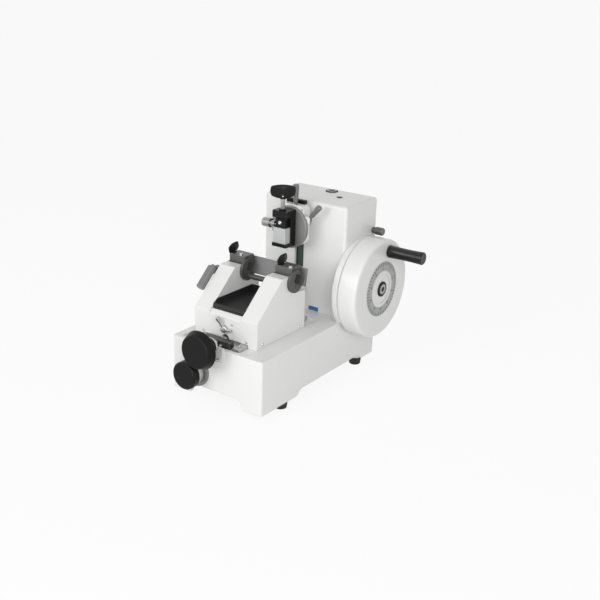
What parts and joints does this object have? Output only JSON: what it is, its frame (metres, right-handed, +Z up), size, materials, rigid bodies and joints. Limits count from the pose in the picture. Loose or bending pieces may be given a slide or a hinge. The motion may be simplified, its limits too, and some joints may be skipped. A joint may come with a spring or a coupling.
{
  "type": "rotary microtome",
  "caption": "Hand-cranked rotary microtome with a sliding knife holder, tilting specimen head, handwheel and black control knobs on a white base.",
  "frame": {"origin": "on the bench, below the middle of the base casting", "axes": "+Z up; +X to the operator's right, where the handwheel is; -Y towards the operator and the feed knobs"},
  "size_m": [0.315, 0.4465, 0.367],
  "materials": {
    "white_paint": "smooth satin enamel",
    "plate_paint": "smooth satin enamel",
    "rubber": "matt moulded rubber",
    "screw_steel": "bright plated",
    "ground_steel": "ground",
    "dark_steel": "blackened and ground",
    "knife_steel": "fine ground",
    "lever_grey": "satin grey",
    "black_plastic": "fine satin",
    "gloss_black": "polished",
    "black_oxide": "black oxide",
    "specimen_grey": "fine blasted",
    "dial_grey": "satin",
    "knurled_steel": "knurled",
    "bronze": "machined",
    "iron": "machined and primed",
    "strip_green": "matt"
  },
  "bodies": {
    "machine": {"base_casting": "white_paint", "base_feet": "rubber", "fixed_screws": "screw_steel", "slide_rails": "ground_steel", "feed_bearing_block": "dark_steel", "front_plate": "plate_paint", "thickness_flange": "lever_grey", "housing_cover": "white_paint", "cover_caps": "black_plastic", "spindle_housing": "white_paint", "spindle_bushes": "bronze", "mechanism_frame": "iron", "guide_rods": "ground_steel"},
    "wheel": {"handwheel": "white_paint", "dial_ring": "dial_grey", "hub_cap": "black_plastic", "spindle": "ground_steel", "crank_disc": "iron", "crank_pin": "ground_steel", "handle_pin": "ground_steel"},
    "crank_grip": {"crank_handle": "gloss_black"},
    "slider": {"crank_block": "bronze"},
    "carriage": {"head_carriage": "iron", "carriage_bushes": "bronze", "dust_strip": "strip_green"},
    "ram": {"specimen_ram": "ground_steel"},
    "ratchet": {"ratchet_screw": "ground_steel", "ratchet_wheel": "ground_steel"},
    "pawl": {"pawl_arm": "dark_steel"},
    "head": {"head_body": "white_paint", "tilt_pin": "ground_steel", "head_cap": "black_plastic"},
    "tilt_lever": {"tilt_lock_lever": "lever_grey"},
    "roll_lever": {"roll_lock_lever": "lever_grey"},
    "clamp": {"clamp_disc": "dark_steel", "clamp_frame": "black_oxide", "specimen_block": "specimen_grey"},
    "jaw": {"upper_jaw": "black_oxide", "jaw_screw": "screw_steel"},
    "clamp_screw": {"specimen_wing_screw": "black_oxide"},
    "jaw_side_screw": {"side_screw": "knurled_steel"},
    "feed": {"feed_knob": "black_plastic", "feed_screw": "ground_steel"},
    "holder": {"knife_holder": "white_paint", "holder_screws": "screw_steel", "feed_nut": "bronze"},
    "holder_lever": {"holder_clamp_lever": "screw_steel"},
    "tray": {"waste_tray": "black_plastic"},
    "cradle": {"knife_cradle": "dark_steel", "knife_brackets": "dark_steel", "bracket_screws": "screw_steel", "knife": "knife_steel"},
    "left_wing": {"left_wing_screw": "black_oxide"},
    "right_wing": {"right_wing_screw": "black_oxide"},
    "left_pad": {"left_clamp_pad": "dark_steel"},
    "right_pad": {"right_clamp_pad": "dark_steel"},
    "angle_lever": {"angle_lock_lever": "lever_grey"},
    "thickness": {"thickness_knob": "black_plastic", "thickness_shaft": "ground_steel"},
    "wheel_lock": {"wheel_lock_knob": "knurled_steel"}
  },
  "joints": [
    {"name": "wheel_spin", "type": "hinge", "parent": "machine", "child": "wheel", "pos_m": [0, 0.1265, 0.1713], "axis": [1, 0, 0], "continuous": true},
    {"name": "grip_spin", "type": "hinge", "parent": "wheel", "child": "crank_grip", "pos_m": [0, 0.1464, 0.2404], "axis": [1, 0, 0], "continuous": true},
    {"name": "block_spin", "type": "hinge", "parent": "wheel", "child": "slider", "pos_m": [0, 0.13431, 0.19819], "axis": [1, 0, 0], "continuous": true},
    {"name": "head_stroke", "type": "slide", "parent": "machine", "child": "carriage", "axis": [0, 0, 1], "range_m": [-0.055, 0.001]},
    {"name": "ram_feed", "type": "slide", "parent": "carriage", "child": "ram", "axis": [0, -1, 0], "range_m": [0, 0.02]},
    {"name": "ratchet_spin", "type": "hinge", "parent": "carriage", "child": "ratchet", "pos_m": [-0.01, 0.138, 0.282], "axis": [0, 1, 0], "range_deg": [-1, 3601]},
    {"name": "pawl_swing", "type": "hinge", "parent": "carriage", "child": "pawl", "pos_m": [-0.01, 0.148, 0.282], "axis": [0, 1, 0], "range_deg": [0, 18]},
    {"name": "head_tilt", "type": "hinge", "parent": "ram", "child": "head", "pos_m": [-0.01, 0.057, 0.282], "axis": [-1, 0, 0], "range_deg": [-8, 8]},
    {"name": "tilt_lever_turn", "type": "hinge", "parent": "head", "child": "tilt_lever", "pos_m": [-0.005, 0.0505, 0.317], "axis": [0, 1, 0], "range_deg": [-25, 25]},
    {"name": "roll_lever_turn", "type": "hinge", "parent": "head", "child": "roll_lever", "pos_m": [0.0248, 0.0505, 0.299], "axis": [0, 1, 0], "range_deg": [-20, 20]},
    {"name": "clamp_roll", "type": "hinge", "parent": "head", "child": "clamp", "pos_m": [-0.01, 0.04, 0.282], "axis": [0, 1, 0], "range_deg": [-30, 30]},
    {"name": "clamp_screw_turn", "type": "hinge", "parent": "clamp", "child": "clamp_screw", "pos_m": [-0.01, 0.017, 0.34], "axis": [0, 0, 1], "range_deg": [-1, 404]},
    {"name": "jaw_lift", "type": "slide", "parent": "clamp", "child": "jaw", "axis": [0, 0, 1], "range_m": [0, 0.0014]},
    {"name": "side_screw_turn", "type": "hinge", "parent": "jaw", "child": "jaw_side_screw", "pos_m": [-0.04, 0.015, 0.29], "axis": [1, 0, 0], "range_deg": [0, 720]},
    {"name": "feed_turn", "type": "hinge", "parent": "machine", "child": "feed", "pos_m": [-0.01, -0.182, 0.119], "axis": [0, 1, 0], "range_deg": [-1081, 2701]},
    {"name": "holder_slide", "type": "slide", "parent": "machine", "child": "holder", "axis": [0, 1, 0], "range_m": [-0.012, 0.03]},
    {"name": "holder_lever_turn", "type": "hinge", "parent": "holder", "child": "holder_lever", "pos_m": [-0.01, -0.146, 0.137], "axis": [0, 1, 0], "range_deg": [-60, 0]},
    {"name": "tray_slide", "type": "slide", "parent": "holder", "child": "tray", "axis": [0, -1, 0], "range_m": [0, 0.08]},
    {"name": "knife_tilt", "type": "hinge", "parent": "holder", "child": "cradle", "pos_m": [0, -0.0405, 0.2127], "axis": [1, 0, 0], "range_deg": [-6, 6]},
    {"name": "left_wing_turn", "type": "hinge", "parent": "cradle", "child": "left_wing", "pos_m": [-0.073, -0.0424, 0.24], "axis": [0, -0.2588, 0.9659], "range_deg": [-1, 404]},
    {"name": "left_pad_lift", "type": "slide", "parent": "cradle", "child": "left_pad", "axis": [0, -0.2588, 0.9659], "range_m": [0, 0.0014]},
    {"name": "right_wing_turn", "type": "hinge", "parent": "cradle", "child": "right_wing", "pos_m": [0.037, -0.0424, 0.24], "axis": [0, -0.2588, 0.9659], "range_deg": [-1, 404]},
    {"name": "right_pad_lift", "type": "slide", "parent": "cradle", "child": "right_pad", "axis": [0, -0.2588, 0.9659], "range_m": [0, 0.0014]},
    {"name": "angle_lever_turn", "type": "hinge", "parent": "holder", "child": "angle_lever", "pos_m": [-0.089, -0.07, 0.208], "axis": [1, 0, 0], "range_deg": [-25, 20]},
    {"name": "thickness_turn", "type": "hinge", "parent": "machine", "child": "thickness", "pos_m": [-0.045, -0.182, 0.0615], "axis": [0, 1, 0], "range_deg": [0, 300]},
    {"name": "wheel_lock_turn", "type": "hinge", "parent": "machine", "child": "wheel_lock", "pos_m": [0.1, 0.169, 0.267], "axis": [1, 0, 0], "range_deg": [0, 180]}
  ],
  "couplings": [
    {"joint": "block_spin", "follows": "wheel_spin", "ratio": -1},
    {"joint": "ratchet_spin", "follows": "ram_feed", "rad_per_m": 3141.6},
    {"joint": "clamp_screw_turn", "follows": "jaw_lift", "rad_per_m": 5026.6},
    {"joint": "feed_turn", "follows": "holder_slide", "rad_per_m": 1570.8},
    {"joint": "left_wing_turn", "follows": "left_pad_lift", "rad_per_m": 5026.6},
    {"joint": "right_wing_turn", "follows": "right_pad_lift", "rad_per_m": 5026.6}
  ]
}
